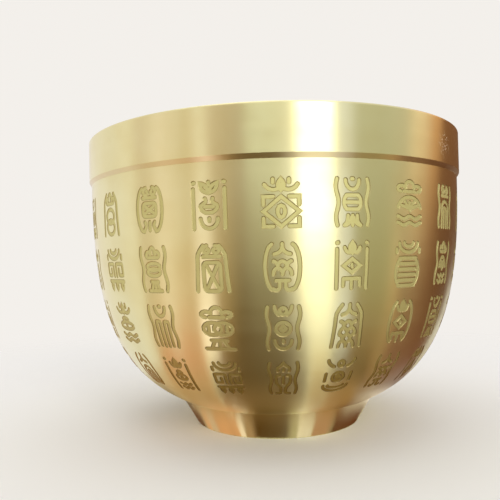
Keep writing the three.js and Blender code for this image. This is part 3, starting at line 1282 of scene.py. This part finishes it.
# How the cup shows the floor. Sight lines from the camera meet an upright line on the cup and go on as
# v - 2(v.n)n until they land. That gives how far out each lands, and its azimuth there as a share of the
# azimuth 2a + b at which the cup shows it, a being the line's azimuth and b the sight line's.
def floorMirror():
    turn = math.radians(mirror["azimuth"])
    places = mirror["places"]
    side = np.linspace((foot["bottomRadius"], 0), (foot["topRadius"], foot["height"]), places + 1)
    outward, downward = foot["height"], foot["topRadius"] - foot["bottomRadius"]
    facing = np.array([outward * math.sin(turn), -outward * math.cos(turn), -downward])
    footPoints = np.stack([side[:, 0] * math.sin(turn), -side[:, 0] * math.cos(turn), side[:, 1]], 1)
    footNormals = np.tile(facing / np.linalg.norm(facing), (places + 1, 1))
    wallPoints, wallNormals = wallPlace(np.full(places + 1, turn), np.linspace(wallLength, 0, places + 1))

    def traced(points, normals, nearest):
        sight = points - camera["place"]
        sight /= np.linalg.norm(sight, axis=1, keepdims=True)
        onward = sight - 2 * (sight * normals).sum(1, keepdims=True) * normals
        falling = onward[:, 2] < 0
        points, sight, onward = points[falling], sight[falling], onward[falling]
        landing = points - onward * points[:, 2:] / onward[:, 2:]
        reach = np.hypot(landing[:, 0], landing[:, 1])
        share = np.arctan2(landing[:, 0], -landing[:, 1]) / (2 * turn + np.arctan2(sight[:, 0], sight[:, 1]))
        within = (reach > nearest) & (reach < mirror["farthest"])
        order = np.argsort(reach[within])
        return reach[within][order], share[within][order]

    footReach, footShare = traced(footPoints, footNormals, 0)
    wallReach, wallShare = traced(wallPoints, wallNormals, footReach[-1])
    return np.concatenate([footReach, wallReach]), np.concatenate([footShare, wallShare])


mirrorReach, mirrorShare = floorMirror()

# What all cards share. Places along a card are v, from 0 at its near edge to 1 at its far edge or its top.
# A card that rises is as far out at the stops as out says, the first no nearer than its near edge, and one
# that starts further out than that folds back first.
sheet = {
    "across": 32,  # mesh steps
    "along": 40,
    "sideStops": (0.25, 0.55, 0.8),  # where along it the three values of first and last hold
    "outStops": (0.1, 0.25, 0.5),
    "out": (31, 45, 100),
    "bend": 0.6,  # where it stands up
    "upright": 420,  # how far out the first one does
    "apart": 4,  # how much further in the next one does
    "rise": 420,  # how high it stands, where its own entry doesn't say
    "lift": 0.02,  # of the first card above the floor
    "layer": 0.004,  # from each card to the next
    "lowerBlend": (0.22, 0.5),  # where the first colour gives way to the second
    "upperBlend": (0.6, 0.9),
    "topFade": (1.0, 0.93),  # where it has thinned out to nothing, and where it begins to
    "streakScale": 7.0,
}


# A sheet spun about Z: along v it goes out evenly from near to far, or stop by stop to the bend, where it
# stands up. Across it the mirrored azimuth goes evenly from first to last, and the mirror's share makes it
# a place.
def makeCard(name, order, first, last, near, soft, colours, streaks=0, far=None, rise=sheet["rise"]):
    across, along, bend = sheet["across"], sheet["along"], sheet["bend"]
    u, v = np.meshgrid(np.linspace(0, 1, across + 1), np.linspace(0, 1, along + 1), indexing="ij")
    start, end = (np.interp(v, sheet["sideStops"], np.broadcast_to(side, 3)) for side in (first, last))
    height = sheet["lift"] + sheet["layer"] * order
    extent = np.interp(u, [0, 1], np.broadcast_to(rise if far is None else far, 2))
    if far is None:
        closest, *further = sheet["out"]
        out = [near, max(near, closest), *further, sheet["upright"] - sheet["apart"] * order]
        radius = np.interp(v, [0, *sheet["outStops"], bend], out)
        height = height + np.clip((v - bend) / (1 - bend), 0, 1) * extent
    else:
        radius = near + (extent - near) * v
        height = np.full(v.shape, height)
    azimuth = np.radians(start + (end - start) * u) * np.interp(radius, mirrorReach, mirrorShare)
    points = np.stack([radius * np.sin(azimuth), -radius * np.cos(azimuth), height], 2).reshape(-1, 3) * mm
    i, j = np.meshgrid(np.arange(across), np.arange(along), indexing="ij")
    corner = (i * (along + 1) + j).ravel()
    faces = np.stack([corner, corner + along + 1, corner + along + 2, corner + 1], 1)
    mesh = bpy.data.meshes.new(name)
    mesh.from_pydata(points.tolist(), [], faces.tolist())
    loops = faces.ravel()
    layout = mesh.uv_layers.new(name="sheet")
    layout.data.foreach_set("uv", np.stack([u.ravel()[loops], v.ravel()[loops]], 1).ravel())
    mesh.materials.append(cardMaterial(name, soft, np.broadcast_to(colours, (3, 3)), streaks))
    card = bpy.data.objects.new(name + "_card", mesh)
    scene.collection.objects.link(card)
    card.visible_camera = False
    card.visible_diffuse = False
    card.visible_shadow = False
    card.visible_transmission = False


# Even light of the card's colours, in faint upright streaks, which thins out to nothing at its sides and at
# its far edge or top
def cardMaterial(name, soft, colours, streaks):
    material = newMaterial(name.replace("_", " ") + " card")
    place = addNode(material, "ShaderNodeUVMap", uv_map="sheet").outputs[0]
    u, v, _ = addNode(material, "ShaderNodeSeparateXYZ", {0: place}).outputs
    left, right = addRange(material, u, 0.0, soft[0]), addRange(material, u, 1.0, 1 - soft[1])
    cover = addMath(material, "MULTIPLY", left, right)
    cover = addMath(material, "MULTIPLY", cover, addRange(material, v, *sheet["topFade"]))
    low, middle, top = colours
    lower = addBlend(material, addRange(material, v, *sheet["lowerBlend"]), low, middle)
    whole = addBlend(material, addRange(material, v, *sheet["upperBlend"]), lower, top)
    stripes = {"W": u, "Scale": sheet["streakScale"], "Detail": 2.0}
    bands = addNode(material, "ShaderNodeTexNoise", stripes, noise_dimensions="1D").outputs[0]
    level = addMath(material, "MULTIPLY_ADD", bands, 2 * streaks, 1 - streaks)
    glow = addNode(material, "ShaderNodeEmission", {0: whole, 1: level})
    clear = addNode(material, "ShaderNodeBsdfTransparent")
    blend = addNode(material, "ShaderNodeMixShader", {0: cover, 1: clear.outputs[0], 2: glow.outputs[0]})
    return finishMaterial(material, blend)


makeFloor()
makeWorld()
for name, settings in lamps.items():
    makeLamp(name, **settings)
for order, (name, settings) in enumerate(cards.items()):
    makeCard(name, order, **settings)
print("floor, world, lamps and cards placed")
